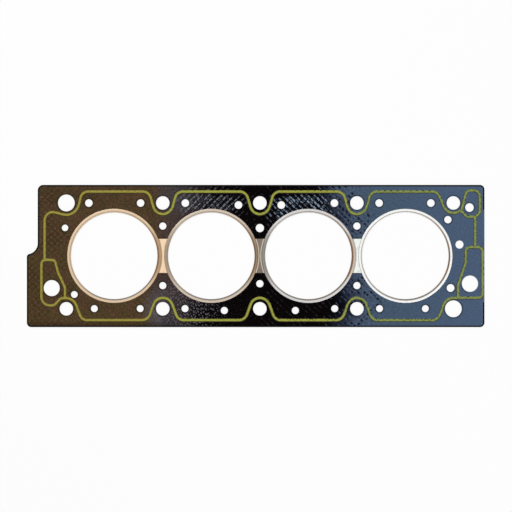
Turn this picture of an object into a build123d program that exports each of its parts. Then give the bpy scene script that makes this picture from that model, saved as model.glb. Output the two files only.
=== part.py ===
"""Cylinder head gasket of a four-cylinder engine, a laminate that lies flat.

A thin steel core carries a soft facing on each side. Each combustion opening is edged by a
fire ring, a thin sheet rolled into a U around the edge of the laminate. Thin plates bridge the
narrow webs between neighbouring rings, and a printed bead seals the coolant and oil passages.

Millimetres. X runs along the row of bores, Y across it and Z up towards the cylinder head.
The origin is the centre of the bore and bolt pattern, at the plane of the block deck.
"""

import os
from math import cos, radians, sin, tan

from build123d import *

os.makedirs("parts", exist_ok=True)

# Laminate, from the steel core outwards
core_thickness = 0.30
facing_thickness = 0.55

# Combustion openings
bore_count = 4
bore_radius = 43.2
ring_gap = 3.1

# Fire rings: one sheet rolled into a U. Widths from its nose outwards, then heights
ring_sheet = 0.20
crest_width = 0.55
crest_slope = 0.50
band_slope = 0.85
band_width = 1.40
rim_width = 0.45
band_lift = 0.10
crest_lift = 0.06
nose_bend_radius = 0.30
ring_seat_depth = 0.10
ring_nose_clearance = 0.25
ring_rim_clearance = 0.10

# Bridge plates, laid under the flanges of two neighbouring rings
plate_thickness = 0.15
plate_length = 34.0
plate_end_clearance = 0.10

# Head bolts: their two rows, and how far the end ones stand in from the bores' own pitch
bolt_row = 52.9
bolt_end_inset = 0.6
bolt_radius = 6.75
dowel_radius = 8.4

# Outline of the laminate: its margins beyond the end bolts and the bolt rows, and the step in its
# left end, whose heights are above the lower bolt row
top_margin = 18.0
bottom_margin = 18.3
right_margin = 31.0
left_margin_upper = 28.5
left_margin_lower = 39.4
step_top = 61.5
step_bottom = 52.0
step_hollow_radius = 8.8
step_corner_radius = 5.0
top_left_corner_radius = 5.5
corner_radius = 4.5

# Oil passages: how far beyond and above their corner hole they lie, and their radius
oil_return_left = (14.6, 20.7, 8.05)
oil_return_right = (16.6, 25.1, 8.15)
oil_feed = (16.1, -4.6, 4.3)

# Coolant passages above and below each inner bolt hole, in pairs either side of the middle:
# how far they lie from the hole along the row, how far outside the row, and their radius
coolant_above_middle_bolt = (21.4, -2.1, 3.8)
coolant_above_side_bolt = [(22.2, -0.1, 3.75), (-22.5, -0.1, 3.8)]
coolant_above_end_bolt = (-22.5, -0.1, 3.8)
coolant_below_middle_bolt = (35.5, 1.7, 3.55)
coolant_below_side_bolt = [(22.6, -0.2, 3.45), (-22.2, -0.2, 3.5)]
coolant_below_end_bolt = (-28.0, -0.2, 3.45)

# Coolant passages beside the bridges: height from the bores' line and radius
coolant_above_middle_bridge = (27.8, 4.1)
coolant_below_middle_bridge = (27.8, 3.6)
coolant_above_side_bridge = (29.8, 3.6)
coolant_below_side_bridge = (29.7, 3.55)

# Coolant passages at the ends: how far beyond and above their corner hole, and their radius
coolant_upper_left = (1.3, -24.9, 3.25)
coolant_lower_left = (-8.0, 14.3, 3.4)
coolant_upper_right = [(-5.5, -16.7, 3.65), (6.1, -41.6, 4.05)]
coolant_lower_right = (-2.8, 20.8, 3.9)

# Sealing bead, printed on both facings
bead_width = 3.0
bead_height = 0.15
bead_bevel_width = 0.60
bead_bevel_height = 0.11
bead_web_radius = 0.9

# Lines of the bead: how far they lie beyond the bolt rows and the end bolts, the radii where they
# leave them, and the heights of the forks above the lower corner holes
bead_top_margin = 11.1
bead_bottom_margin = 11.5
bead_left_margin = 21.9
bead_right_margin = 21.6
bead_shoulder_radius = 8.0
bead_end_shoulder_radius = 7.0
bead_left_top = 48.6
bead_left_fork = 10.4
bead_right_top = 61.4

# Corners of the bead's closed loops round the oil passages: how far beyond and above their
# corner hole they lie, and the radius of each
bead_left_loop = [
    (25.1, bead_left_top, 4.5),
    (11.5, bead_left_top, 4.0),
    (8.6, 36.4, 20.0),
    (1.5, 21.4, 8.0),
    (1.5, bead_left_fork, 1.2),
    (5.4, bead_left_fork, 5.0),
    (12.2, 3.1, 5.0),
    (25.1, 3.1, 9.0),
]
bead_upper_right_loop = [
    (12.8, 12.3, 5.5),
    (26.2, 12.3, 6.0),
    (26.2, -14.0, 6.5),
    (13.5, -14.0, 3.0),
    (7.8, -8.3, 2.0),
]
bead_lower_right_loop = [
    (12.2, bead_right_top, 4.0),
    (28.9, bead_right_top, 4.0),
    (28.9, 10.9, 4.0),
    (4.3, 10.9, 2.0),
    (4.3, 23.1, 9.0),
    (12.2, 46.0, 20.0),
]

# Points of the bead's open lines near the ends, stated in the same way
bead_left_knee = (bead_left_margin, -6.9, 8.5)
bead_top_end = (8.1, -7.5, 0.0)
bead_right_start = (bead_right_margin, -13.8, 0.0)
bead_bottom_start = (4.8, 10.7, 0.0)
bead_bottom_end = (3.0, bead_left_fork, 0.0)

# Shoulders where the bead's long lines end: how far they stand in from the end bolts
bead_top_shoulder = 16.1
bead_bottom_shoulder = 15.4

# Turns of the bead round the bolts: radius, how far the turn's centre lies from the bolt's
# centre towards the bores, and the slant of its flanks in degrees
top_turn = (10.0, 1.4, 16.0)
bottom_turn = (10.0, 0.7, 20.0)

# Turns of the bead round the corner holes: radius, and the ways from the hole's centre to the
# lines before and after the turn, in degrees
top_left_turn = (12.5, -103.4, -13.8)
top_right_turn = (10.3, -158.0, -66.0)
bottom_left_turn = (10.4, 21.0, 90.0)
bottom_right_turn = (10.7, 90.0, 160.0)

# Levels
facing_face = core_thickness / 2 + facing_thickness
ring_seat = facing_face - ring_seat_depth
ring_face = ring_seat + ring_sheet
middle = ring_face + band_lift

# Radii of the rings and of their seats
crest_radius = bore_radius + crest_width
groove_radius = crest_radius + crest_slope
band_inner_radius = groove_radius + band_slope
band_outer_radius = band_inner_radius + band_width
ring_rim_radius = band_outer_radius + rim_width
laminate_bore_radius = bore_radius + ring_sheet + ring_nose_clearance
seat_radius = ring_rim_radius + ring_rim_clearance

# Places
bore_pitch = 2 * ring_rim_radius + ring_gap
bore_span = bore_pitch * (bore_count - 1)
bore_centres = [(i * bore_pitch - bore_span / 2, 0) for i in range(bore_count)]
bridge_centres = [(x + bore_pitch / 2, y) for x, y in bore_centres[:-1]]
bolt_columns = [x for x, _ in bridge_centres]
bolt_end = (bore_span + bore_pitch) / 2 - bolt_end_inset
upper_left = (-bolt_end, bolt_row)
upper_right = (bolt_end, bolt_row)
lower_left = (-bolt_end, -bolt_row)
lower_right = (bolt_end, -bolt_row)
bolt_places = [(x, y) for x in bolt_columns for y in (bolt_row, -bolt_row)]
bolt_places += [upper_right, lower_left]
dowel_places = [upper_left, lower_right]
bead_top_line = bolt_row + bead_top_margin
bead_bottom_line = -bolt_row - bead_bottom_margin


def beyond(corner, points):
    """Points near a corner hole, from how far beyond and above it they lie, each with its radius."""
    outwards = 1 if corner[0] > 0 else -1
    return [(corner[0] + outwards * out, corner[1] + up, radius) for out, up, radius in points]


def both_sides(column, row, points):
    """Points beside a bolt hole and their mirror images across the middle of the gasket."""
    outwards = 1 if row > 0 else -1
    right = [(column + along, row + outwards * out, radius) for along, out, radius in points]
    return right + [(-x, y, radius) for x, y, radius in right]


def passages():
    """Place and radius of each oil and coolant passage."""
    side = bolt_columns[-1]
    found = beyond(lower_left, [oil_return_left, coolant_lower_left])
    found += beyond(lower_right, [oil_return_right, coolant_lower_right])
    found += beyond(upper_right, [oil_feed, *coolant_upper_right])
    found += beyond(upper_left, [coolant_upper_left])
    found += both_sides(0, bolt_row, [coolant_above_middle_bolt])
    found += both_sides(side, bolt_row, coolant_above_side_bolt)
    found += both_sides(bolt_end, bolt_row, [coolant_above_end_bolt])
    found += both_sides(0, -bolt_row, [coolant_below_middle_bolt])
    found += both_sides(side, -bolt_row, coolant_below_side_bolt)
    found += both_sides(bolt_end, -bolt_row, [coolant_below_end_bolt])
    above, below = coolant_above_side_bridge, coolant_below_side_bridge
    found += [(x, above[0], above[1]) for x in (-side, side)]
    found += [(x, -below[0], below[1]) for x in (-side, side)]
    above, below = coolant_above_middle_bridge, coolant_below_middle_bridge
    found += [(0, above[0], above[1]), (0, -below[0], below[1])]
    return found


def closed_line(corners):
    """A closed line with rounded corners, from the place and radius of each."""
    return FilletPolyline([(x, y) for x, y, _ in corners], radius=[r for _, _, r in corners], close=True)


def laminate():
    """The die-cut shape that the core and both facings share."""
    corners = beyond(upper_left, [(left_margin_upper, top_margin, top_left_corner_radius)])
    corners += beyond(upper_right, [(right_margin, top_margin, corner_radius)])
    corners += beyond(lower_right, [(right_margin, -bottom_margin, corner_radius)])
    corners += beyond(
        lower_left,
        [
            (left_margin_lower, -bottom_margin, corner_radius),
            (left_margin_lower, step_bottom, step_corner_radius),
            (left_margin_upper, step_top, step_hollow_radius),
        ],
    )
    with BuildSketch() as shape:
        with BuildLine():
            closed_line(corners)
        make_face()
        with Locations(*bore_centres):
            Circle(laminate_bore_radius, mode=Mode.SUBTRACT)
        with Locations(*bolt_places):
            Circle(bolt_radius, mode=Mode.SUBTRACT)
        with Locations(*dowel_places):
            Circle(dowel_radius, mode=Mode.SUBTRACT)
        for x, y, radius in passages():
            with Locations((x, y)):
                Circle(radius, mode=Mode.SUBTRACT)
    return shape.sketch


def ring_section():
    """Half of a fire ring's section, above the middle of the laminate: radius, height."""
    outer = [
        (bore_radius, 0),
        (bore_radius, ring_face + crest_lift),
        (crest_radius, ring_face + crest_lift),
        (groove_radius, ring_face),
        (band_inner_radius, ring_face + band_lift),
        (band_outer_radius, ring_face + band_lift),
        (ring_rim_radius, ring_face),
    ]
    inner = [
        (ring_rim_radius, ring_seat),
        (band_outer_radius, ring_seat + band_lift),
        (band_inner_radius, ring_seat + band_lift),
        (groove_radius, ring_seat),
        (bore_radius + ring_sheet, ring_seat),
        (bore_radius + ring_sheet, 0),
    ]
    with BuildSketch() as section:
        with BuildLine():
            Polyline(*outer, *inner, close=True)
        make_face()
        nose = section.vertices().sort_by(Axis.X)[:2].sort_by(Axis.Y)[-1]
        fillet(nose, radius=nose_bend_radius)
        mirror(about=Plane.XZ)
    return section.sketch


def bolt_turn(x, side):
    """Corners where the bead leaves its line to pass inside a bolt hole, each with its radius.

    side is 1 on the upper row and -1 on the lower row.
    """
    line = bead_top_line if side > 0 else bead_bottom_line
    radius, shift, slant = top_turn if side > 0 else bottom_turn
    depth = side * line - (bolt_row - shift)
    apex = radius / sin(radians(slant))
    reach = (apex + depth) * tan(radians(slant))
    return [
        (x - reach, line, bead_shoulder_radius),
        (x, line - side * (depth + apex), radius),
        (x + reach, line, bead_shoulder_radius),
    ]


def touching_corner(centre, turn):
    """The corner of two lines that touch a circle round a hole's centre, with its radius."""
    radius, first, second = turn
    middle_way = radians((first + second) / 2)
    reach = radius / cos(radians((second - first) / 2))
    return (centre[0] + reach * cos(middle_way), centre[1] + reach * sin(middle_way), radius)


def meets_line(centre, turn, height):
    """Where the line after a turn meets a height, with the radius of the shoulder there."""
    radius, _, way = turn
    across = radius / cos(radians(way))
    x = centre[0] + across + (centre[1] - height) * tan(radians(way))
    return (x, height, bead_shoulder_radius)


def bead_lines():
    """Points of the lines that join the loops, along the top, the right and the bottom.

    Each line starts and ends inside the band of a loop.
    """
    top = beyond(lower_left, [(bead_left_margin, bead_left_top, 0.0)])
    top += beyond(upper_left, [bead_left_knee])
    top += [touching_corner(upper_left, top_left_turn)]
    top += [meets_line(upper_left, top_left_turn, bead_top_line)]
    for x in bolt_columns:
        top += bolt_turn(x, 1)
    top += [(bolt_end - bead_top_shoulder, bead_top_line, bead_end_shoulder_radius)]
    top += [touching_corner(upper_right, top_right_turn)]
    top += beyond(upper_right, [bead_top_end])

    right = beyond(upper_right, [bead_right_start])
    right += beyond(lower_right, [(bead_right_margin, bead_right_top, 0.0)])

    bottom = beyond(lower_right, [bead_bottom_start])
    bottom += [touching_corner(lower_right, bottom_right_turn)]
    bottom += [meets_line(lower_right, bottom_right_turn, bead_bottom_line)]
    for x in reversed(bolt_columns):
        bottom += bolt_turn(x, -1)[::-1]
    bottom += [(bead_bottom_shoulder - bolt_end, bead_bottom_line, bead_end_shoulder_radius)]
    bottom += [touching_corner(lower_left, bottom_left_turn)]
    bottom += beyond(lower_left, [bead_bottom_end])
    return [top, right, bottom]


def closed_band(corners):
    """The band that a closed line makes at the bead's width."""
    with BuildSketch() as band:
        with BuildLine():
            closed_line(corners)
        make_face()
        inside = offset(amount=-bead_width / 2, mode=Mode.PRIVATE)
        offset(amount=bead_width / 2)
        add(inside, mode=Mode.SUBTRACT)
    return band.sketch


def open_band(points):
    """The band that an open line makes at the bead's width."""
    places = [(x, y) for x, y, _ in points]
    with BuildSketch() as band:
        with BuildLine():
            if len(points) == 2:
                Line(places)
            else:
                FilletPolyline(places, radius=[r for _, _, r in points[1:-1]])
        trace(line_width=bead_width)
    return band.sketch


def bead_plan():
    """The whole bead seen from above, one connected band whose forks are rounded."""
    with BuildSketch() as plan:
        add(closed_band(beyond(lower_left, bead_left_loop)))
        add(closed_band(beyond(upper_right, bead_upper_right_loop)))
        add(closed_band(beyond(lower_right, bead_lower_right_loop)))
        for points in bead_lines():
            add(open_band(points))
        offset(amount=bead_web_radius)
        offset(amount=-bead_web_radius)
    return plan.sketch


laminate_plan = laminate()
section_plan = ring_section()
bead_outline = bead_plan()


with BuildPart() as steel_core:
    with BuildSketch(Plane.XY.offset(middle - core_thickness / 2)):
        add(laminate_plan)
    extrude(amount=core_thickness)
steel_core.part.label = "steel_core"
export_step(steel_core.part, "parts/steel_core.step")


faces = {"top": 1, "bottom": -1}

for face, side in faces.items():
    with BuildPart() as facing:
        with BuildSketch(Plane.XY.offset(middle + side * core_thickness / 2)):
            add(laminate_plan)
        extrude(amount=side * facing_thickness)
        with BuildSketch(Plane.XY.offset(middle + side * facing_face)):
            with Locations(*bore_centres):
                Circle(seat_radius)
        extrude(amount=-side * ring_seat_depth, mode=Mode.SUBTRACT)
        with BuildSketch(Plane.XY.offset(middle + side * facing_face)):
            with Locations(*bridge_centres):
                Rectangle(bore_pitch / 2, plate_length + 2 * plate_end_clearance)
        extrude(amount=-side * (ring_seat_depth + plate_thickness), mode=Mode.SUBTRACT)
    facing.part.label = f"{face}_facing"
    export_step(facing.part, f"parts/{face}_facing.step")

for number, (x, y) in enumerate(bore_centres, start=1):
    with BuildPart() as fire_ring:
        upright = Plane(origin=(x, y, middle), x_dir=(1, 0, 0), z_dir=(0, -1, 0))
        with BuildSketch(upright):
            add(section_plan)
        revolve(axis=Axis((x, y, 0), (0, 0, 1)))
    fire_ring.part.label = f"fire_ring_{number}"
    export_step(fire_ring.part, f"parts/fire_ring_{number}.step")

for face, side in faces.items():
    for number, centre in enumerate(bridge_centres, start=1):
        with BuildPart() as bridge_plate:
            with BuildSketch(Plane.XY.offset(middle + side * (ring_seat - plate_thickness))):
                with Locations(centre):
                    Rectangle(bore_pitch / 2, plate_length)
                with Locations(*bore_centres):
                    Circle(laminate_bore_radius, mode=Mode.SUBTRACT)
            extrude(amount=side * plate_thickness)
        bridge_plate.part.label = f"{face}_bridge_plate_{number}"
        export_step(bridge_plate.part, f"parts/{face}_bridge_plate_{number}.step")

for face, side in faces.items():
    with BuildPart() as sealing_bead:
        with BuildSketch(Plane.XY.offset(middle + side * facing_face)):
            add(bead_outline)
        extrude(amount=side * bead_height)
        crown = sealing_bead.faces().sort_by(Axis.Z)[-1 if side > 0 else 0]
        chamfer(crown.edges(), bead_bevel_width, bead_bevel_height, reference=crown)
    sealing_bead.part.label = f"{face}_sealing_bead"
    export_step(sealing_bead.part, f"parts/{face}_sealing_bead.step")
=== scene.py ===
"""Cylinder head gasket, dressed for rendering.

Each operator makes one kind of piece from the CAD frame: the laminate with its embossed facings,
the fire rings, the bridge plates, the sealing beads, and the stage. Blender units are metres.
"""

from math import acos, cos, pi, radians, sin

import bmesh
import bpy
from mathutils import Matrix, Vector
from mathutils.bvhtree import BVHTree


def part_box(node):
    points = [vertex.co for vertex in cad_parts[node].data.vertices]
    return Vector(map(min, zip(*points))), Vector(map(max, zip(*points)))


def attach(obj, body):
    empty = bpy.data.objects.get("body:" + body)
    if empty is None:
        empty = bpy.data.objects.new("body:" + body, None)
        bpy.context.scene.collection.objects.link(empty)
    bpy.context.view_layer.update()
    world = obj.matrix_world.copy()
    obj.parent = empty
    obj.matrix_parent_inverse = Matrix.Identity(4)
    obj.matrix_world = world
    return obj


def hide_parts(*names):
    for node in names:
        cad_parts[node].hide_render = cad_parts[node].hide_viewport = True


bl_info = {
    "name": "Cylinder head gasket",
    "version": (1, 0, 0),
    "blender": (4, 5, 0),
    "location": "3D View > Sidebar > Gasket",
    "description": "Makes the finished pieces of a cylinder head gasket on its CAD frame",
    "category": "Object",
}

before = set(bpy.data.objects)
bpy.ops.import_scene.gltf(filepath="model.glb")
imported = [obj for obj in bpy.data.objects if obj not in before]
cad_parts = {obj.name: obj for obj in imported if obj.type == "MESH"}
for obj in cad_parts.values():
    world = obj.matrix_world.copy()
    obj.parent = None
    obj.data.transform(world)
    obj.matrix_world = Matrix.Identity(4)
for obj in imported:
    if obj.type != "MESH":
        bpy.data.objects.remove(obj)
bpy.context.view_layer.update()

MM = 0.001
FACES = {"top": 1, "bottom": -1}
RINGS = [f"fire_ring_{place}" for place in range(1, 5)]
PLATES = [f"{face}_bridge_plate_{place}" for face in FACES for place in range(1, 4)]
RING_STEPS = 180
NOSE_STEPS = 6
STEP_CUTS = 9
FLOOR_REACH = 4.0
LAMP_SIZE = 0.9
SENSOR = 36.0


def srgb(red, green, blue):
    """A linear colour from screen values of 0 to 255."""

    def linear(value):
        value /= 255
        return value / 12.92 if value <= 0.04045 else ((value + 0.055) / 1.055) ** 2.4

    return (linear(red), linear(green), linear(blue))


def length(name, description, default):
    """A length property in metres."""
    return bpy.props.FloatProperty(
        name=name, description=description, default=default, min=0.0, precision=6, unit="LENGTH"
    )


def colour(name, description, default):
    """A colour property."""
    return bpy.props.FloatVectorProperty(
        name=name,
        description=description,
        default=default,
        size=3,
        min=0.0,
        max=1.0,
        subtype="COLOR",
    )


def number(name, description, default, unit="NONE"):
    """A plain number property, which may be negative."""
    return bpy.props.FloatProperty(
        name=name, description=description, default=default, precision=6, unit=unit
    )


def factor(name, description, default):
    """A share property from 0 to 1."""
    return bpy.props.FloatProperty(
        name=name, description=description, default=default, min=0.0, max=1.0, subtype="FACTOR"
    )


class GasketFacing(bpy.types.PropertyGroup):
    """Sizes and colours of the embossed facings."""

    rim_width: length("Rim width", "Width of the rolled-over cut edge", 1.50 * MM)
    rim_drop: length("Rim drop", "How far the cut edge rolls over", 0.12 * MM)
    pitch_x: length("Pitch along", "Spacing of the embossing along the bores", 6.4 * MM)
    pitch_y: length("Pitch across", "Spacing of the embossing across the bores", 6.2 * MM)
    gap: length("Gap", "Flat line between neighbouring diamonds", 0.4 * MM)
    height: length("Height", "Height of a diamond", 0.05 * MM)
    slope: length("Slope", "Width of a diamond's sloping flanks", 1.7 * MM)
    step_high: length("Step top", "Height above the bores' line where the step starts", 12.7 * MM)
    step_low: length("Step foot", "Depth below the bores' line where the step ends", 3.3 * MM)
    step_depth: length("Step depth", "How far the left end steps out", 10.9 * MM)
    step_hollow: length("Step hollow", "Radius of the step's hollow", 11.0 * MM)
    step_corner: length("Step corner", "Radius of the step's outer corner", 3.0 * MM)
    # The colours below are painted reflections of the surroundings: brown at the left, near black
    # in the middle, slate blue at the right. The lit colours and the blooms are painted glints and
    # sheen.
    left_end: colour("Left end", "Colour at the left end", srgb(50, 37, 18))
    left: colour("Left", "Colour round the first bore", srgb(46, 36, 20))
    plum: colour("Plum", "Colour beyond the first bore", srgb(50, 45, 45))
    middle: colour("Middle", "Colour at the middle", srgb(6, 3, 4))
    navy: colour("Navy", "Colour beyond the third bore", srgb(18, 21, 34))
    right: colour("Right", "Colour round the last bore", srgb(60, 77, 97))
    right_end: colour("Right end", "Colour at the right end", srgb(76, 94, 120))
    left_lit: colour("Left, lit", "Lit embossing at the left", srgb(76, 62, 42))
    plum_lit: colour("Plum, lit", "Lit embossing beyond the first bore", srgb(84, 78, 80))
    middle_lit: colour("Middle, lit", "Lit embossing at the middle", srgb(34, 30, 33))
    navy_lit: colour("Navy, lit", "Lit embossing beyond the third bore", srgb(76, 88, 112))
    right_lit: colour("Right, lit", "Lit embossing round the last bore", srgb(72, 90, 111))
    left_low: colour("Left, low", "Lit embossing at the lower left", srgb(84, 69, 44))
    left_warm: colour("Left, warm", "Warmer patches at the left", srgb(91, 67, 50))
    umber: colour("Umber", "Colour between the first bores", srgb(58, 46, 43))
    umber_lit: colour("Umber, lit", "Lit embossing between the first bores", srgb(82, 68, 65))
    bloom_left: colour("Left bloom", "Sheen over the second bore", srgb(108, 111, 122))
    bloom_right: colour("Right bloom", "Sheen over the third bore", srgb(126, 142, 162))
    bloom_low: colour("Low bloom", "Sheen under the second bore", srgb(99, 94, 103))
    # Painted shade along the cut sides and the rolled rims.
    cut: colour("Cut edge", "Colour of the cut edges", srgb(9, 8, 9))


class GasketRings(bpy.types.PropertyGroup):
    """Sizes and colours of the fire rings and the bridge plates."""

    pitch: length("Bore pitch", "Spacing of the bores", 97.0 * MM)
    bore_radius: length("Bore radius", "Inner radius of a ring", 43.2 * MM)
    crest: length("Crest", "Radius of the crest at the nose", 43.75 * MM)
    groove: length("Groove", "Radius of the groove", 44.25 * MM)
    band_inner: length("Band inside", "Inner radius of the raised band", 45.1 * MM)
    band_outer: length("Band outside", "Outer radius of the raised band", 46.5 * MM)
    rim: length("Rim", "Outer radius of a ring", 46.95 * MM)
    crest_height: length("Crest height", "Height of the crest above the middle", 0.86 * MM)
    groove_height: length("Groove height", "Height of the groove above the middle", 0.80 * MM)
    band_height: length("Band height", "Height of the band above the middle", 0.90 * MM)
    nose_radius: length("Nose radius", "Bend radius of the nose", 0.30 * MM)
    sheet: length("Sheet", "Thickness of the rolled sheet", 0.20 * MM)
    first: colour("First ring", "Colour of the first ring", srgb(216, 190, 158))
    first_side: colour("First ring's side", "Colour beside the first plate", srgb(182, 146, 108))
    second: colour("Second ring", "Colour of the second ring", srgb(202, 187, 170))
    second_side: colour("Second ring's side", "Colour beside the middle plate", srgb(158, 138, 114))
    third: colour("Third ring", "Colour of the third ring", srgb(208, 205, 203))
    third_side: colour("Third ring's side", "Colour beside the middle plate", srgb(140, 137, 130))
    third_tan: colour("Third ring's tan", "Colour beside the last plate", srgb(198, 182, 166))
    fourth: colour("Fourth ring", "Colour of the last ring", srgb(238, 238, 236))
    # These two colours are painted shade in the groove, on the nose and at the rim: grey below each
    # bore and browner at its right.
    shadow: colour("Shadow", "Colour of the groove and the nose", srgb(112, 104, 98))
    warm_shadow: colour("Rust", "The same at the right of a bore", srgb(106, 76, 50))
    shade: colour("Shade", "Tint of the plates' stains and shaded sides", (0.24, 0.21, 0.19))
    first_plate: colour("First plate", "Colour of the first bridge plate", srgb(238, 208, 172))
    second_plate: colour("Second plate", "Colour of the middle bridge plate", srgb(122, 109, 97))
    gleam: colour("Gleam", "Pale line round the rings on the middle plate", srgb(206, 194, 176))
    third_plate: colour("Third plate", "Colour of the last bridge plate", srgb(236, 240, 234))
    steel: colour("Core steel", "Colour of the core's cut edge", srgb(96, 94, 92))


class GasketBead(bpy.types.PropertyGroup):
    """Colours of the sealing beads."""

    left: colour("Left", "Colour at the left", srgb(156, 145, 57))
    middle: colour("Middle", "Colour at the middle", srgb(160, 162, 64))
    right: colour("Right", "Colour at the right", srgb(134, 148, 76))
    # Painted shade on the bead's flanks.
    border: colour("Border", "Colour of the bead's flanks", srgb(58, 56, 10))
    notch: colour("Notch", "Colour of the notches over the embossing", srgb(26, 28, 14))


class GasketStage(bpy.types.PropertyGroup):
    """Floor, lamps and camera."""

    floor: colour("Floor", "Colour of the floor", (0.93, 0.93, 0.93))
    glow: factor("Glow", "How much of the floor's shading the background replaces", 0.88)
    world: factor("World", "Strength of the surrounding light", 0.45)
    key: number("Key", "Power of the main lamp in watts", 9.0)
    fill: number("Fill", "Power of the fill lamp in watts", 6.0)
    distance: length("Distance", "Height of the camera above the gasket", 1.6)
    view_width: length("View width", "Width that the photograph's frame takes in", 0.512)
    centre_x: number("Centre along", "Where the camera points", -3.85 * MM, "LENGTH")
    centre_y: number("Centre across", "Where the camera points", -0.13 * MM, "LENGTH")


def new_group(name, inputs, outputs):
    """A shader node group with named sockets, and its input and output nodes."""
    group = bpy.data.node_groups.new(name, "ShaderNodeTree")
    for socket, kind, default in inputs:
        made = group.interface.new_socket(name=socket, in_out="INPUT", socket_type=kind)
        if default is not None:
            made.default_value = default
    for socket, kind in outputs:
        group.interface.new_socket(name=socket, in_out="OUTPUT", socket_type=kind)
    return group, group.nodes.new("NodeGroupInput"), group.nodes.new("NodeGroupOutput")


class Wiring:
    """Short ways to place and join shader nodes in one tree."""

    def __init__(self, tree):
        self.tree = tree

    def put(self, kind, settings=None, **inputs):
        """A new node with its settings, and its inputs set or joined by name."""
        node = self.tree.nodes.new(kind)
        for key, value in (settings or {}).items():
            setattr(node, key, value)
        for key, value in inputs.items():
            self.join(node.inputs[key.replace("_", " ")], value)
        return node

    def join(self, socket, value):
        """Joins a socket to another one, or gives it a value."""
        if isinstance(value, bpy.types.NodeSocket):
            self.tree.links.new(value, socket)
        else:
            socket.default_value = value

    def math(self, operation, first, second=0.0, clamp=False):
        """A Math node's value."""
        node = self.put("ShaderNodeMath", {"operation": operation, "use_clamp": clamp})
        self.join(node.inputs[0], first)
        self.join(node.inputs[1], second)
        return node.outputs[0]

    def times(self, first, *others):
        """The product of the values."""
        for other in others:
            first = self.math("MULTIPLY", first, other)
        return first

    def plus(self, first, second):
        """The sum of two values."""
        return self.math("ADD", first, second)

    def minus(self, first, second):
        """The first value less the second."""
        return self.math("SUBTRACT", first, second)

    def larger(self, first, second):
        """The larger of two values."""
        return self.math("MAXIMUM", first, second)

    def unsigned(self, value):
        """A value without its sign."""
        return self.math("ABSOLUTE", value)

    def smooth(self, value, low, high):
        """0 below low, 1 above high, and smooth between them; low may be the greater."""
        settings = {"interpolation_type": "SMOOTHSTEP"}
        node = self.put("ShaderNodeMapRange", settings, Value=value, From_Min=low, From_Max=high)
        return node.outputs["Result"]

    def ramp(self, value, low, high):
        """The same for a value in metres, with low and high in millimetres."""
        return self.smooth(value, low * MM, high * MM)

    def blend(self, share, first, second):
        """Two values mixed by a share."""
        node = self.put("ShaderNodeMix", {"data_type": "FLOAT"}, Factor=share, A=first, B=second)
        return node.outputs["Result"]

    def mix(self, share, first, second, blend="MIX"):
        """Two colours mixed by a share."""
        node = self.put("ShaderNodeMix", {"data_type": "RGBA", "blend_type": blend})
        self.join(node.inputs["Factor"], share)
        for socket, value in ((node.inputs[6], first), (node.inputs[7], second)):
            self.join(socket, value if isinstance(value, bpy.types.NodeSocket) else (*value, 1.0))
        return node.outputs[2]

    def noise(self, vector, scale, detail=3.0, roughness=0.5):
        """A noise value round 0.5; scale is how many waves a metre holds."""
        node = self.put("ShaderNodeTexNoise", Vector=vector, Scale=scale, Detail=detail)
        self.join(node.inputs["Roughness"], roughness)
        return node.outputs["Fac"]

    def split(self, vector):
        """The three parts of a vector."""
        return self.put("ShaderNodeSeparateXYZ", Vector=vector).outputs

    def stops(self, value, colours):
        """Colours that follow a value in metres, each stop a place in millimetres and a colour."""
        mixed = colours[0][1]
        for (place, _), (after, tone) in zip(colours, colours[1:]):
            mixed = self.mix(self.ramp(value, place, after), mixed, tone)
        return mixed


def grain_group():
    """Fine grain of a pressed or rolled surface: a height and a shade round 1."""
    sockets = [
        ("Vector", "NodeSocketVector", None),
        ("Grain Size", "NodeSocketFloat", 0.0006),
        ("Stretch", "NodeSocketVector", (1.0, 1.0, 1.0)),
        ("Depth", "NodeSocketFloat", 0.1),
    ]
    outputs = [("Height", "NodeSocketFloat"), ("Shade", "NodeSocketFloat")]
    group, start, end = new_group("surface grain", sockets, outputs)
    wire = Wiring(group)
    scaled = wire.put("ShaderNodeVectorMath", {"operation": "MULTIPLY"})
    wire.join(scaled.inputs[0], start.outputs["Vector"])
    wire.join(scaled.inputs[1], start.outputs["Stretch"])
    scale = wire.math("DIVIDE", 1.0, start.outputs["Grain Size"])
    fine = wire.noise(scaled.outputs[0], scale, detail=4.0, roughness=0.6)
    spread = wire.times(wire.minus(fine, 0.5), start.outputs["Depth"])
    wire.join(end.inputs["Height"], fine)
    wire.join(end.inputs["Shade"], wire.plus(1.0, spread))
    return group


def grained(wire, place, colour, size, depth, stretch=(1.0, 1.0, 1.0)):
    """The colour with the surface grain on it, and the grain's height."""
    group = bpy.data.node_groups.get("surface grain") or grain_group()
    node = wire.put("ShaderNodeGroup", {"node_tree": group}, Vector=place)
    node.inputs["Grain Size"].default_value = size
    node.inputs["Stretch"].default_value = stretch
    node.inputs["Depth"].default_value = depth
    shade = wire.put("ShaderNodeCombineXYZ")
    for axis in range(3):
        wire.join(shade.inputs[axis], node.outputs["Shade"])
    return wire.mix(1.0, colour, shade.outputs[0], "MULTIPLY"), node.outputs["Height"]


def bore_group():
    """Where a point lies in its own bore: how far along from the centre, and its radius."""
    sockets = [("Vector", "NodeSocketVector", None), ("Pitch", "NodeSocketFloat", 0.1)]
    outputs = [("Along", "NodeSocketFloat"), ("Radius", "NodeSocketFloat")]
    group, start, end = new_group("bore place", sockets, outputs)
    wire = Wiring(group)
    x, y, _ = wire.split(start.outputs["Vector"])
    pitch = start.outputs["Pitch"]
    ahead = wire.plus(x, wire.times(pitch, 2.0))
    along = wire.minus(wire.math("MODULO", ahead, pitch), wire.times(pitch, 0.5))
    reach = wire.put("ShaderNodeCombineXYZ", X=along, Y=y)
    radius = wire.put("ShaderNodeVectorMath", {"operation": "LENGTH"}, Vector=reach.outputs[0])
    wire.join(end.inputs["Along"], along)
    wire.join(end.inputs["Radius"], radius.outputs["Value"])
    return group


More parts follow.
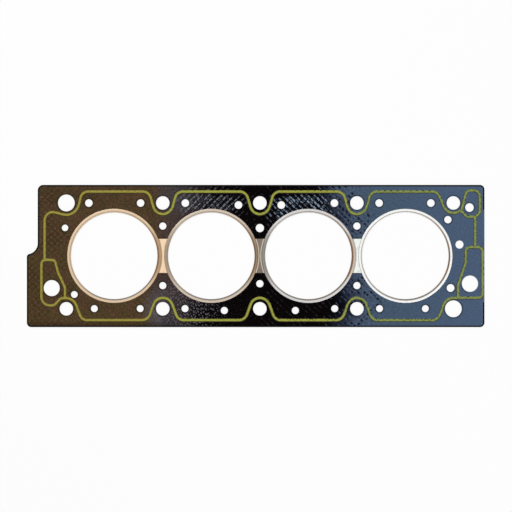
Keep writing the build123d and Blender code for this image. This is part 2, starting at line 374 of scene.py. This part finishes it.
def bore_place(wire, place, pitch):
    """How far along its bore a point lies, and at what radius."""
    group = bpy.data.node_groups.get("bore place") or bore_group()
    node = wire.put("ShaderNodeGroup", {"node_tree": group}, Vector=place)
    node.inputs["Pitch"].default_value = pitch
    return node.outputs["Along"], node.outputs["Radius"]


def from_middle(wire, value):
    """How far a value lies from the middle of its step of 1, from 0 to 0.5."""
    return wire.unsigned(wire.minus(wire.math("FRACT", value), 0.5))


def row_chance(wire, row):
    """A chance for each row, by its whole number."""
    noise = wire.put("ShaderNodeTexWhiteNoise", {"noise_dimensions": "1D"}, W=row)
    return noise.outputs["Value"]


def cell_chance(wire, row, column):
    """A chance for each cell, by its two whole numbers."""
    cell = wire.put("ShaderNodeCombineXYZ", X=row, Y=column)
    return wire.put("ShaderNodeTexWhiteNoise", Vector=cell.outputs[0]).outputs["Value"]


def dash(wire, across, along, width, reach):
    """A soft dash in each cell; width and reach say where it ends and where it is full."""
    side = wire.smooth(from_middle(wire, across), *width)
    tip = wire.smooth(from_middle(wire, along), *reach)
    return wire.times(side, tip)


LATTICE = ("Rising", "Falling", "Blocks", "Lines", "Chance")


def lattice_group():
    """The embossing seen as a lattice of diamonds: strokes, dark blocks, lines and chance."""
    sockets = [
        ("Vector", "NodeSocketVector", None),
        ("Pitch Along", "NodeSocketFloat", 0.01),
        ("Pitch Across", "NodeSocketFloat", 0.01),
    ]
    outputs = [(name, "NodeSocketFloat") for name in LATTICE]
    group, start, end = new_group("embossing lattice", sockets, outputs)
    wire = Wiring(group)
    x, y, _ = wire.split(start.outputs["Vector"])
    column = wire.math("DIVIDE", x, start.outputs["Pitch Along"])
    row = wire.math("DIVIDE", y, start.outputs["Pitch Across"])
    shake = wire.noise(start.outputs["Vector"], 330.0, roughness=0.6)
    shake = wire.times(wire.minus(shake, 0.5), 0.6)
    up = wire.plus(wire.plus(column, row), shake)
    down = wire.minus(wire.minus(column, row), shake)
    seen = {}
    for name, across, along in (("Rising", down, up), ("Falling", up, down)):
        doubled = wire.times(across, 2.0)
        stroke_row = wire.math("FLOOR", doubled)
        along = wire.plus(along, row_chance(wire, stroke_row))
        strength = cell_chance(wire, stroke_row, wire.math("FLOOR", along))
        strength = wire.plus(0.25, wire.times(strength, 0.75))
        main_row = wire.math("LESS_THAN", wire.math("FRACT", across), 0.5)
        strength = wire.times(strength, wire.blend(main_row, 0.40, 1.0))
        line = dash(wire, doubled, along, width=(0.50, 0.16), reach=(0.50, 0.28))
        seen[name] = wire.times(line, strength)
    up_number = wire.math("FLOOR", up)
    shifted = wire.plus(down, wire.times(row_chance(wire, up_number), 0.5))
    seen["Blocks"] = dash(wire, up, shifted, width=(0.32, 0.14), reach=(0.46, 0.26))
    border = wire.larger(from_middle(wire, up), from_middle(wire, down))
    seen["Lines"] = wire.smooth(border, 0.32, 0.45)
    seen["Chance"] = cell_chance(wire, up_number, wire.math("FLOOR", down))
    for name in LATTICE:
        wire.join(end.inputs[name], seen[name])
    return group


def lattice(wire, place, sizes):
    """The embossing's rising and falling strokes, blocks, lines and a chance for each diamond."""
    group = bpy.data.node_groups.get("embossing lattice") or lattice_group()
    node = wire.put("ShaderNodeGroup", {"node_tree": group}, Vector=place)
    node.inputs["Pitch Along"].default_value = sizes.pitch_x
    node.inputs["Pitch Across"].default_value = sizes.pitch_y
    return [node.outputs[name] for name in LATTICE]


def new_material(name):
    """An empty material with its wiring, the place on the object and the surface's direction."""
    material = bpy.data.materials.new(name)
    material.use_nodes = True
    material.node_tree.nodes.clear()
    wire = Wiring(material.node_tree)
    seat = wire.put("ShaderNodeTexCoord")
    return material, wire, seat.outputs["Object"], seat.outputs["Normal"]


def finish_material(wire, colour, height, bump, roughness, metallic=0.0, specular=0.5):
    """The shader and its output, with a bump from the height."""
    bumped = wire.put("ShaderNodeBump", Height=height, Strength=bump, Distance=0.02 * MM)
    shader = wire.put("ShaderNodeBsdfPrincipled", Base_Color=colour, Roughness=roughness)
    shader.inputs["Metallic"].default_value = metallic
    shader.inputs["Specular IOR Level"].default_value = specular
    wire.join(shader.inputs["Normal"], bumped.outputs["Normal"])
    out = wire.put("ShaderNodeOutputMaterial")
    wire.join(out.inputs["Surface"], shader.outputs["BSDF"])


def bloom(wire, place, centre, reach):
    """A soft oval patch, 1 at its centre; centre and reach in millimetres."""
    x, y, _ = wire.split(place)
    across = wire.times(wire.minus(x, centre[0] * MM), 1000.0 / reach[0])
    along = wire.times(wire.minus(y, centre[1] * MM), 1000.0 / reach[1])
    oval = wire.plus(wire.math("POWER", across, 2.0), wire.math("POWER", along, 2.0))
    return wire.smooth(oval, 1.5, 0.2)


def leaning_place(wire, place):
    """The place along the facing that its colours follow: it leans, bends and drifts a little."""
    x, y, _ = wire.split(place)
    lean = wire.put(
        "ShaderNodeMapRange", Value=x, From_Min=-0.02, From_Max=0.02, To_Min=-0.07, To_Max=0.11
    )
    drift = wire.times(wire.minus(wire.noise(place, 45.0), 0.5), 30 * MM)
    upper = wire.times(wire.ramp(y, 68, 40), 9 * MM)
    lower = wire.blend(wire.ramp(y, -20, -38), 10 * MM, 12 * MM)
    lower = wire.times(wire.ramp(y, -70, -48), lower)
    bend = wire.blend(wire.ramp(y, -17, 17), lower, upper)
    bend = wire.times(bend, wire.ramp(x, 20, 60))
    leaning = wire.plus(x, wire.times(y, lean.outputs["Result"]))
    return wire.minus(wire.plus(leaning, drift), bend)


def facing_tones(wire, place, leaning, tones):
    """The facing's plain colour with painted reflections drifting along it, the colour of its
    painted glints on the embossing, and how strong the painted sheen is.
    """
    _, y, _ = wire.split(place)
    outside = wire.ramp(wire.unsigned(y), 34, 60)
    plum = wire.mix(outside, tones.umber, tones.plum)
    plum_lit = wire.mix(outside, tones.umber_lit, tones.plum_lit)
    left_lit = wire.mix(wire.ramp(y, 72, 30), tones.left_lit, tones.left_low)
    warm = wire.smooth(wire.noise(place, 110.0, roughness=0.6), 0.42, 0.66)
    left_lit = wire.mix(warm, left_lit, tones.left_warm)
    # The plain stops are painted reflections along the facing. The lit stops and the blooms are
    # painted glints and sheen on the embossing.
    plain_stops = [
        (-215, tones.left_end),
        (-150, tones.left),
        (-112, tones.left),
        (-86, plum),
        (-50, tones.middle),
        (56, tones.middle),
        (76, tones.navy),
        (106, tones.navy),
        (126, tones.right),
        (215, tones.right_end),
    ]
    lit_stops = [
        (-114, left_lit),
        (-88, plum_lit),
        (-62, plum_lit),
        (-22, tones.middle_lit),
        (44, tones.middle_lit),
        (72, tones.navy_lit),
        (112, tones.right_lit),
        (215, tones.right_end),
    ]
    blooms = [
        ((-50, 53), (34, 17), tones.bloom_left),
        ((42, 45), (34, 24), tones.bloom_right),
        ((-78, -52), (36, 27), tones.bloom_low),
    ]
    plain = wire.stops(leaning, plain_stops)
    lit = wire.stops(leaning, lit_stops)
    inside = wire.ramp(y, 64, 57)
    sheen = 0.0
    for centre, reach, glow in blooms:
        patch = wire.times(bloom(wire, place, centre, reach), inside)
        lit = wire.mix(patch, lit, glow)
        sheen = wire.larger(sheen, patch)
    return plain, lit, sheen


def stroke_share(wire, place, leaning, sheen, rising, falling):
    """How much is lit between the ends: strokes, small dots at the lower left, and a haze."""
    x, y, _ = wire.split(place)
    low = wire.ramp(y, 10, -30)
    low_left = wire.times(low, wire.ramp(x, 0, -20))
    low_right = wire.times(low, wire.ramp(x, 5, 25), wire.ramp(x, 90, 65))

    spots = wire.put(
        "ShaderNodeTexVoronoi", {"voronoi_dimensions": "2D"}, Vector=place, Scale=430.0
    )
    spot_chance, _, _ = wire.split(spots.outputs["Color"])
    dots = wire.smooth(spots.outputs["Distance"], 0.46, 0.12)
    dots = wire.times(dots, wire.blend(spot_chance, 0.25, 1.0))
    strokes = wire.blend(wire.ramp(x, -12, 8), rising, falling)
    strokes = wire.blend(wire.times(low_left, 0.85), strokes, dots)

    crowded = wire.ramp(leaning, -22, -50)
    density = wire.plus(wire.blend(crowded, 0.45, 0.60), wire.times(sheen, 0.40))
    density = wire.math("MINIMUM", density, 0.90)
    density = wire.minus(density, wire.times(low_right, 0.10))
    least = wire.times(wire.minus(1.0, density), 0.7)
    strokes = wire.smooth(strokes, least, wire.plus(least, 0.52))
    haze = wire.times(wire.ramp(leaning, -68, -100), wire.blend(low, 0.45, 0.25))
    return wire.larger(strokes, haze)


def slate_share(wire, place, leaning, blocks, chance):
    """How much is lit at the right: nearly all, less the dark blocks that grow rarer."""
    rarer = wire.ramp(leaning, 84, 122)
    kept = wire.smooth(chance, rarer, wire.plus(rarer, 0.5))
    uneven = wire.smooth(wire.noise(place, 330.0, 2.0, 0.6), 0.26, 0.50)
    return wire.minus(0.96, wire.times(blocks, kept, uneven))


def brown_share(wire, place, lines):
    """How much is lit at the left: most, less the lattice's lines in soft patches."""
    x, _, _ = wire.split(place)
    patches = wire.smooth(wire.noise(place, 30.0, 2.0), 0.35, 0.65)
    end = wire.plus(0.45, wire.times(wire.ramp(x, -160, -195), 0.55))
    return wire.minus(0.82, wire.times(lines, patches, end, 0.60))


def edge_shade_share(wire, place, normal, pitch):
    """Where painted shade darkens the facing along its cut edges: its sides and, more softly, its
    rolled rims.
    """
    x, y, _ = wire.split(place)
    flat = wire.unsigned(wire.split(normal)[2])
    _, radius = bore_place(wire, place, pitch)
    rim = wire.times(wire.smooth(flat, 0.9992, 0.9975), wire.ramp(radius, 49.5, 50.5))
    outer = wire.ramp(wire.unsigned(y), 66, 69)
    for near, far in ((-217, -220), (219, 222)):
        outer = wire.larger(outer, wire.ramp(x, near, far))
    rim = wire.times(rim, wire.blend(outer, 0.40, 1.0))
    return wire.larger(rim, wire.smooth(flat, 0.9, 0.5))


def facing_material(tones, pitch):
    """Satin facing in painted reflections of the surroundings: warm brown at the left, near black
    in the middle, slate blue at the right, with painted glints on the embossing.
    """
    material, wire, place, normal = new_material("embossed facing")
    x, y, _ = wire.split(place)
    leaning = leaning_place(wire, place)
    plain, lit, sheen = facing_tones(wire, place, leaning, tones)
    rising, falling, blocks, lines, chance = lattice(wire, place, tones)
    strokes = stroke_share(wire, place, leaning, sheen, rising, falling)
    slate = slate_share(wire, place, leaning, blocks, chance)
    share = wire.blend(wire.ramp(leaning, 64, 94), strokes, slate)
    share = wire.blend(wire.ramp(leaning, -84, -116), share, brown_share(wire, place, lines))
    speckle = wire.times(wire.noise(place, 620.0, 2.0, 0.65), 2.0)
    share = wire.math("MULTIPLY", share, speckle, clamp=True)
    smooth_tone = wire.mix(share, plain, lit)
    rough_tone, grain = grained(wire, place, smooth_tone, size=1.8 * MM, depth=2.0)
    tone = wire.mix(wire.times(wire.ramp(leaning, 95, 130), 0.60), rough_tone, smooth_tone)
    foot = wire.times(wire.ramp(y, -65, -68), wire.ramp(x, -50, -90), 0.30)
    tone = wire.mix(foot, tone, tones.middle)
    # Painted shade along the cut edges.
    tone = wire.mix(edge_shade_share(wire, place, normal, pitch), tone, tones.cut)
    finish_material(wire, tone, grain, bump=0.5, roughness=0.5, specular=0.012)
    return material


def ring_material(tones):
    """Rolled steel of the fire rings, from warm at the left to bright at the right, with painted
    shade in the groove, on the nose and at the rim, deepest on each bore's lower right.
    """
    material, wire, place, _ = new_material("ring steel")
    x, y, _ = wire.split(place)
    along, radius = bore_place(wire, place, tones.pitch)
    rightness = wire.math("DIVIDE", along, radius)
    upness = wire.math("DIVIDE", y, radius)
    colours = [
        (-112, tones.first),
        (-99, tones.first_side),
        (-96, tones.second_side),
        (-80, tones.second),
        (-20, tones.second),
        (-3, tones.second_side),
        (3, tones.third_side),
        (18, tones.third),
        (86, tones.third),
        (93, tones.third_tan),
        (96, tones.third_tan),
        (98, tones.fourth),
    ]
    base = wire.stops(x, colours)
    # Painted shade: grey below each bore, browner at its right.
    warm_shadow_share = wire.times(wire.smooth(rightness, -0.1, 0.7), wire.smooth(upness, -0.9, -0.3))
    shaded = wire.mix(warm_shadow_share, tones.shadow, tones.warm_shadow)

    # Painted shade in the groove, on the nose and at the rim, deepest on the side away from the
    # upper left and beside the plates.
    away = wire.smooth(wire.minus(rightness, upness), -1.1, 1.3)
    spread = wire.times(wire.smooth(rightness, 0.78, 1.0), wire.ramp(x, 110, 90), 0.8 * MM)
    reach = wire.plus(spread, tones.groove + 0.75 * MM)
    groove = wire.times(
        wire.smooth(radius, tones.crest, tones.groove - 0.25 * MM),
        wire.smooth(radius, reach, tones.groove + 0.25 * MM),
        wire.blend(away, 0.73, 0.94),
        wire.blend(wire.ramp(x, -150, 110), 0.83, 1.05),
    )
    nose = wire.times(wire.smooth(radius, tones.groove, tones.crest), wire.blend(away, 0.15, 1.0))

    beside = wire.smooth(wire.unsigned(rightness), 0.90, 0.98)
    inward = wire.times(beside, wire.ramp(wire.unsigned(x), 14, 8), 0.9 * MM)
    rim = wire.smooth(
        radius, wire.minus(tones.band_outer, inward), wire.minus(tones.rim, inward)
    )
    rim = wire.times(rim, wire.blend(beside, 0.30, 0.75))
    for share in (groove, nose, rim):
        base = wire.mix(share, base, shaded)
    base, grain = grained(wire, place, base, size=1.4 * MM, depth=0.25)
    finish_material(wire, base, grain, bump=0.25, roughness=0.36, metallic=0.35)
    return material


def plate_material(tones):
    """Bright rolled sheet of the bridge plates, warm at the left and white at the right."""
    material, wire, place, _ = new_material("plate steel")
    x, _, _ = wire.split(place)
    along, radius = bore_place(wire, place, tones.pitch)
    colours = [
        (-60, tones.first_plate),
        (-40, tones.second_plate),
        (40, tones.second_plate),
        (60, tones.third_plate),
    ]
    base = wire.stops(x, colours)
    shaded = wire.mix(1.0, base, tones.shade, "MULTIPLY")

    right = wire.ramp(along, -10, 10)
    wider = wire.times(right, 0.7 * MM)
    shadow_end = wire.plus(wider, tones.rim + 0.8 * MM)
    shadow = wire.smooth(radius, shadow_end, wire.plus(wider, tones.rim))
    base = wire.mix(wire.times(shadow, wire.blend(right, 0.5, 0.68)), base, shaded)
    stains = wire.smooth(wire.noise(place, 240.0, roughness=0.65), 0.52, 0.72)
    base = wire.mix(wire.times(stains, 0.35), base, shaded)

    gleam = wire.times(
        wire.smooth(radius, tones.rim + 0.05 * MM, tones.rim + 0.45 * MM),
        wire.smooth(radius, tones.rim + 1.25 * MM, tones.rim + 0.85 * MM),
        wire.ramp(wire.unsigned(x), 30, 20),
    )
    base = wire.mix(gleam, base, tones.gleam)
    base, grain = grained(wire, place, base, size=1.6 * MM, depth=0.40, stretch=(1.0, 0.35, 1.0))
    finish_material(wire, base, grain, bump=0.3, roughness=0.40, metallic=0.30)
    return material


def steel_material(tones):
    """Plain steel of the core, seen only at its cut edge."""
    material, wire, place, _ = new_material("core steel")
    base, grain = grained(
        wire, place, tones.steel, size=0.5 * MM, depth=0.5, stretch=(1.0, 1.0, 0.2)
    )
    finish_material(wire, base, grain, bump=0.4, roughness=0.45, metallic=0.8)
    return material


def bead_material(tones, sizes):
    """Printed elastomer of the beads, olive to green, with painted shade on the flanks, darker on
    the lower side, and small notches.
    """
    material, wire, place, normal = new_material("printed bead")
    x, _, _ = wire.split(place)
    colours = [(-120, tones.left), (-85, tones.middle), (70, tones.middle), (110, tones.right)]
    base = wire.stops(x, colours)

    # Painted shade on the flanks, darker on those facing down and to the left.
    across, along, up = wire.split(normal)
    flank = wire.smooth(wire.unsigned(up), 0.9998, 0.9935)
    turned = wire.plus(wire.times(along, 2.0), across)
    lower = wire.math("SUBTRACT", 0.66, wire.times(turned, 1.2), clamp=True)
    base = wire.mix(wire.times(flank, lower), base, tones.border)

    _, _, _, lines, chance = lattice(wire, place, sizes)
    notch = wire.times(
        wire.larger(flank, 0.30),
        wire.smooth(chance, 0.15, 0.4),
        wire.smooth(lines, 0.05, 0.60),
        wire.blend(wire.ramp(x, -60, 120), 0.4, 1.0),
    )
    base = wire.mix(notch, base, tones.notch)
    base, grain = grained(wire, place, base, size=1.6 * MM, depth=0.35)
    finish_material(wire, base, grain, bump=0.3, roughness=0.42, specular=0.2)
    return material


def wear(piece, material):
    """Gives the piece one material in place of any it has."""
    piece.data.materials.clear()
    piece.data.materials.append(material)


def link_mesh(bm, name, material):
    """A new object in the scene from a bmesh, which is used up."""
    mesh = bpy.data.meshes.new(name)
    bm.to_mesh(mesh)
    bm.free()
    piece = bpy.data.objects.new(name, mesh)
    bpy.context.scene.collection.objects.link(piece)
    wear(piece, material)
    return piece


def from_mesh(bm, name, material):
    """A new object from a bmesh, riding on the part."""
    piece = link_mesh(bm, name, material)
    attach(piece, "root")
    return piece


def cad_copy(node):
    """A merged bmesh of a CAD node."""
    bm = bmesh.new()
    bm.from_mesh(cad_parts[node].data)
    bmesh.ops.remove_doubles(bm, verts=bm.verts, dist=0.001 * MM)
    return bm


def step_verts(bm, left, sizes):
    """The vertices of the step in the outline's left end."""
    right = left + sizes.step_depth + 0.05 * MM
    return [
        vert
        for vert in bm.verts
        if vert.co.x < right and -sizes.step_low < vert.co.y < sizes.step_high
    ]


def bend_step(bm, sizes):
    """Turns the slanting step in the left end into one long hollow and a tight corner."""
    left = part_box("steel_core")[0][0]
    right = left + sizes.step_depth
    step = set(step_verts(bm, left, sizes))
    inside = [edge for edge in bm.edges if step.issuperset(edge.verts)]
    slants = [
        edge for edge in inside if edge.calc_length() > 5 * MM and edge.calc_face_angle() > 1.0
    ]
    if len(slants) != 2:
        raise RuntimeError(f"the step has {len(slants)} slanting edges instead of 2")
    walls = {face for edge in slants for face in edge.link_faces if abs(face.normal.z) < 0.5}
    halves = [edge for edge in bm.edges if walls.issuperset(edge.link_faces)]
    bmesh.ops.dissolve_edges(bm, edges=halves)
    bmesh.ops.subdivide_edges(bm, edges=slants, cuts=STEP_CUTS, use_grid_fill=True)

    step = step_verts(bm, left, sizes)
    sheets = []
    for side in FACES.values():
        around = {face for vert in step for face in vert.link_faces}
        sheet = [face for face in around if face.normal.z * side > 0.5]
        sheets += bmesh.ops.dissolve_faces(bm, faces=sheet)["region"]
    old = sorted({(round(vert.co.y, 6), round(vert.co.x, 6)) for vert in step}, reverse=True)
    runs = {old[0][0]: 0.0}
    for before, after in zip(old, old[1:]):
        runs[after[0]] = runs[before[0]] + (Vector(after) - Vector(before)).length
    radii = sizes.step_hollow + sizes.step_corner
    turn = acos(1 - sizes.step_depth / radii)
    start, end = old[0][0], old[-1][0]
    corner_y = start - radii * sin(turn)
    for vert in step:
        run = runs[round(vert.co.y, 6)] / runs[end] * radii * turn
        if run < sizes.step_hollow * turn:
            angle = run / sizes.step_hollow
            vert.co.x = right - sizes.step_hollow * (1 - cos(angle))
            vert.co.y = start - sizes.step_hollow * sin(angle)
        else:
            angle = (radii * turn - run) / sizes.step_corner
            vert.co.x = left + sizes.step_corner * (1 - cos(angle))
            vert.co.y = corner_y + sizes.step_corner * sin(angle)
    bmesh.ops.triangulate(bm, faces=sheets)
    bm.normal_update()


def roll_edges(bm, side, level, sizes):
    """Rolls the cut edges of the facing's outer plane over."""
    plane = [
        face
        for face in bm.faces
        if face.normal.z * side > 0.99 and abs(face.calc_center_median().z - level) < 0.01 * MM
    ]
    inner = bmesh.ops.inset_region(
        bm, faces=plane, thickness=sizes.rim_width, use_even_offset=True, use_boundary=True
    )["faces"]
    kept = {vert for face in plane for vert in face.verts}
    rim = {vert for face in inner for vert in face.verts} - kept
    bmesh.ops.translate(bm, verts=list(rim), vec=(0, 0, -side * sizes.rim_drop))


def clear_of_edges(tree, face, side, level):
    """Whether a cell of the embossing lies wholly on the facing's outer plane."""
    down = Vector((0, 0, -side))
    for corner in [face.calc_center_median()] + [vert.co for vert in face.verts]:
        hit = tree.ray_cast(corner + Vector((0, 0, side * 10 * MM)), down)[0]
        if hit is None or abs(hit.z - level) > 0.02 * MM:
            return False
    return True


def stamp_diamonds(bm, side, level, sizes):
    """The diamonds of the embossing: low pyramids with flat crowns, clear of holes and edges."""
    tree = BVHTree.FromBMesh(bm)
    cells = bmesh.new()
    count = 100
    sink = 0.002 * MM
    eighth = Matrix.Rotation(pi / 4, 3, "Z")
    shape = (sizes.pitch_x / 2**0.5, side * sizes.pitch_y / 2**0.5, side)
    bmesh.ops.create_grid(cells, x_segments=count, y_segments=count, size=count / 2)
    bmesh.ops.rotate(cells, verts=cells.verts, cent=(0, 0, 0), matrix=eighth)
    bmesh.ops.scale(cells, verts=cells.verts, vec=shape)
    bmesh.ops.translate(cells, verts=cells.verts, vec=(0, 0, level - side * sink))
    outside = [face for face in cells.faces if not clear_of_edges(tree, face, side, level)]
    bmesh.ops.delete(cells, geom=outside, context="FACES")
    bmesh.ops.recalc_face_normals(cells, faces=cells.faces)
    turned = [face for face in cells.faces if face.normal.z * side < 0]
    bmesh.ops.reverse_faces(cells, faces=turned)
    gaps = bmesh.ops.inset_individual(cells, faces=cells.faces, thickness=sizes.gap / 2)["faces"]
    bmesh.ops.delete(cells, geom=gaps, context="FACES")
    bmesh.ops.inset_individual(cells, faces=cells.faces, thickness=sizes.slope, depth=sizes.height)
    made = bpy.data.meshes.new("diamonds")
    cells.to_mesh(made)
    cells.free()
    bm.from_mesh(made)
    bpy.data.meshes.remove(made)


class GASKET_OT_laminate(bpy.types.Operator):
    """Makes the steel core and both embossed facings"""

    bl_idname = "gasket.laminate"
    bl_label = "Laminate"

    def execute(self, context):
        sizes = context.scene.gasket_facing
        material = facing_material(sizes, context.scene.gasket_rings.pitch)
        bm = cad_copy("steel_core")
        bend_step(bm, sizes)
        core = from_mesh(bm, "pressed_core", steel_material(context.scene.gasket_rings))
        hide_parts("steel_core")
        for face, side in FACES.items():
            node = f"{face}_facing"
            low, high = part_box(node)
            level = high[2] if side > 0 else low[2]
            bm = cad_copy(node)
            bend_step(bm, sizes)
            roll_edges(bm, side, level, sizes)
            stamp_diamonds(bm, side, level, sizes)
            piece = from_mesh(bm, f"{face}_embossed_facing", material)
            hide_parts(node)
        return {"FINISHED"}


def ring_profile(sizes):
    """Radius and height along the outer skin of a ring's section, from its upper rim down."""
    upper = [
        (sizes.rim, sizes.groove_height),
        (sizes.band_outer + 0.15 * MM, sizes.band_height - 0.02 * MM),
        (sizes.band_outer - 0.10 * MM, sizes.band_height),
        (sizes.band_inner + 0.10 * MM, sizes.band_height),
        (sizes.band_inner - 0.15 * MM, sizes.band_height - 0.02 * MM),
        (sizes.groove + 0.20 * MM, sizes.groove_height + 0.01 * MM),
        (sizes.groove - 0.05 * MM, sizes.groove_height),
        (sizes.crest + 0.10 * MM, sizes.crest_height - 0.01 * MM),
        (sizes.crest - 0.05 * MM, sizes.crest_height),
    ]
    centre_r = sizes.bore_radius + sizes.nose_radius
    centre_z = sizes.crest_height - sizes.nose_radius
    for step in range(NOSE_STEPS + 1):
        turn = radians(90 + 90 * step / NOSE_STEPS)
        r = centre_r + sizes.nose_radius * cos(turn)
        z = centre_z + sizes.nose_radius * sin(turn)
        upper.append((r, z))
    return upper + [(r, -z) for r, z in reversed(upper)]


class GASKET_OT_fire_rings(bpy.types.Operator):
    """Makes the rolled fire rings"""

    bl_idname = "gasket.fire_rings"
    bl_label = "Fire rings"

    def execute(self, context):
        sizes = context.scene.gasket_rings
        material = ring_material(sizes)
        profile = ring_profile(sizes)
        for node in RINGS:
            low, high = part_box(node)
            centre = (Vector(low) + Vector(high)) / 2
            bm = bmesh.new()
            line = [bm.verts.new(centre + Vector((r, 0, z))) for r, z in profile]
            edges = [bm.edges.new(pair) for pair in zip(line, line[1:])]
            bmesh.ops.spin(
                bm,
                geom=line + edges,
                cent=centre,
                axis=(0, 0, 1),
                angle=2 * pi,
                steps=RING_STEPS,
                use_merge=True,
            )
            bmesh.ops.remove_doubles(bm, verts=bm.verts, dist=0.001 * MM)
            bmesh.ops.recalc_face_normals(bm, faces=bm.faces)
            bmesh.ops.solidify(bm, geom=bm.faces, thickness=sizes.sheet)
            for face in bm.faces:
                face.smooth = True
            piece = from_mesh(bm, node.replace("fire_ring", "rolled_ring"), material)
            piece.data.set_sharp_from_angle(angle=radians(40))
            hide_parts(node)
        return {"FINISHED"}


class GASKET_OT_bridge_plates(bpy.types.Operator):
    """Gives the bridge plates their finish"""

    bl_idname = "gasket.bridge_plates"
    bl_label = "Bridge plates"

    def execute(self, context):
        material = plate_material(context.scene.gasket_rings)
        for node in PLATES:
            wear(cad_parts[node], material)
        return {"FINISHED"}


class GASKET_OT_sealing_beads(bpy.types.Operator):
    """Makes the printed beads from the CAD beads, smooth-shaded over their shoulders"""

    bl_idname = "gasket.sealing_beads"
    bl_label = "Sealing beads"

    def execute(self, context):
        material = bead_material(context.scene.gasket_bead, context.scene.gasket_facing)
        for face in FACES:
            node = f"{face}_sealing_bead"
            bm = cad_copy(node)
            for part in bm.faces:
                part.smooth = True
            piece = from_mesh(bm, f"{face}_printed_bead", material)
            piece.data.set_sharp_from_angle(angle=radians(50))
            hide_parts(node)
        return {"FINISHED"}


def soft_lamp(name, place, power, tone):
    """A square area lamp that looks at the gasket's middle."""
    lamp = bpy.data.lights.new(name, "AREA")
    lamp.shape = "SQUARE"
    lamp.size = LAMP_SIZE
    lamp.energy = power
    lamp.color = tone
    holder = bpy.data.objects.new(name, lamp)
    holder.location = place
    holder.rotation_euler = (-Vector(place)).to_track_quat("-Z", "Y").to_euler()
    bpy.context.scene.collection.objects.link(holder)


def seen_share(wire):
    """1 for what the camera sees, straight or in a reflection or through glass, and 0 for light."""
    path = wire.put("ShaderNodeLightPath").outputs
    mirrored = wire.larger(path["Is Glossy Ray"], path["Is Transmission Ray"])
    return wire.larger(path["Is Camera Ray"], mirrored)


def floor_material(stage):
    """A pale floor that the camera sees as white, with the object's shadow kept."""
    material, wire, place, _ = new_material("pale floor")
    tone, _ = grained(wire, place, stage.floor, size=60 * MM, depth=0.01)
    ground = wire.put("ShaderNodeBsdfDiffuse", Color=tone)
    white = wire.put("ShaderNodeEmission", Color=(1, 1, 1, 1), Strength=1.0)
    both = wire.put("ShaderNodeMixShader", Fac=wire.times(seen_share(wire), stage.glow))
    wire.join(both.inputs[1], ground.outputs[0])
    wire.join(both.inputs[2], white.outputs[0])
    out = wire.put("ShaderNodeOutputMaterial")
    wire.join(out.inputs["Surface"], both.outputs[0])
    return material


def light_world(strength):
    """A plain surround: white to the camera, and even light for the object."""
    world = bpy.data.worlds.new("surround")
    world.use_nodes = True
    world.node_tree.nodes.clear()
    wire = Wiring(world.node_tree)
    level = wire.blend(seen_share(wire), strength, 1.0)
    back = wire.put("ShaderNodeBackground", Color=(1, 1, 1, 1), Strength=level)
    out = wire.put("ShaderNodeOutputWorld")
    wire.join(out.inputs["Surface"], back.outputs[0])
    bpy.context.scene.world = world


class GASKET_OT_stage(bpy.types.Operator):
    """Sets up the floor, the lamps and the camera"""

    bl_idname = "gasket.stage"
    bl_label = "Stage"

    def execute(self, context):
        scene = context.scene
        stage = scene.gasket_stage
        bm = bmesh.new()
        bmesh.ops.create_grid(bm, x_segments=1, y_segments=1, size=FLOOR_REACH)
        bmesh.ops.translate(bm, verts=bm.verts, vec=(0, 0, -0.02 * MM))
        floor = link_mesh(bm, "floor", floor_material(stage))

        light_world(stage.world)
        soft_lamp("key", place=(-0.55, 0.75, 1.1), power=stage.key, tone=(1.0, 0.99, 0.97))
        soft_lamp("fill", place=(0.75, -0.55, 1.1), power=stage.fill, tone=(0.98, 0.99, 1.0))

        camera = bpy.data.cameras.new("camera")
        camera.sensor_width = SENSOR
        camera.lens = SENSOR * stage.distance / stage.view_width
        camera.clip_end = 20.0
        holder = bpy.data.objects.new("camera", camera)
        holder.location = (stage.centre_x, stage.centre_y, stage.distance)
        scene.collection.objects.link(holder)
        scene.camera = holder
        scene.view_settings.view_transform = "Standard"
        return {"FINISHED"}


class GASKET_PT_panel(bpy.types.Panel):
    """Lists the gasket's sizes, colours and steps"""

    bl_label = "Gasket"
    bl_space_type = "VIEW_3D"
    bl_region_type = "UI"
    bl_category = "Gasket"

    def draw(self, context):
        for group_name in GROUPS:
            group = getattr(context.scene, group_name)
            box = self.layout.box()
            for name in group.__annotations__:
                box.prop(group, name)
        for step in STEPS:
            self.layout.operator(step.bl_idname)


STEPS = (
    GASKET_OT_laminate,
    GASKET_OT_fire_rings,
    GASKET_OT_bridge_plates,
    GASKET_OT_sealing_beads,
    GASKET_OT_stage,
)
CLASSES = (GasketFacing, GasketRings, GasketBead, GasketStage, *STEPS, GASKET_PT_panel)
GROUPS = {
    "gasket_facing": GasketFacing,
    "gasket_rings": GasketRings,
    "gasket_bead": GasketBead,
    "gasket_stage": GasketStage,
}


def register():
    for made in CLASSES:
        bpy.utils.register_class(made)
    for name, group in GROUPS.items():
        setattr(bpy.types.Scene, name, bpy.props.PointerProperty(type=group))


def unregister():
    for name in GROUPS:
        delattr(bpy.types.Scene, name)
    for made in reversed(CLASSES):
        bpy.utils.unregister_class(made)


def main():
    register()
    bpy.ops.gasket.laminate()
    bpy.ops.gasket.fire_rings()
    bpy.ops.gasket.bridge_plates()
    bpy.ops.gasket.sealing_beads()
    bpy.ops.gasket.stage()


if __name__ == "__main__":
    main()
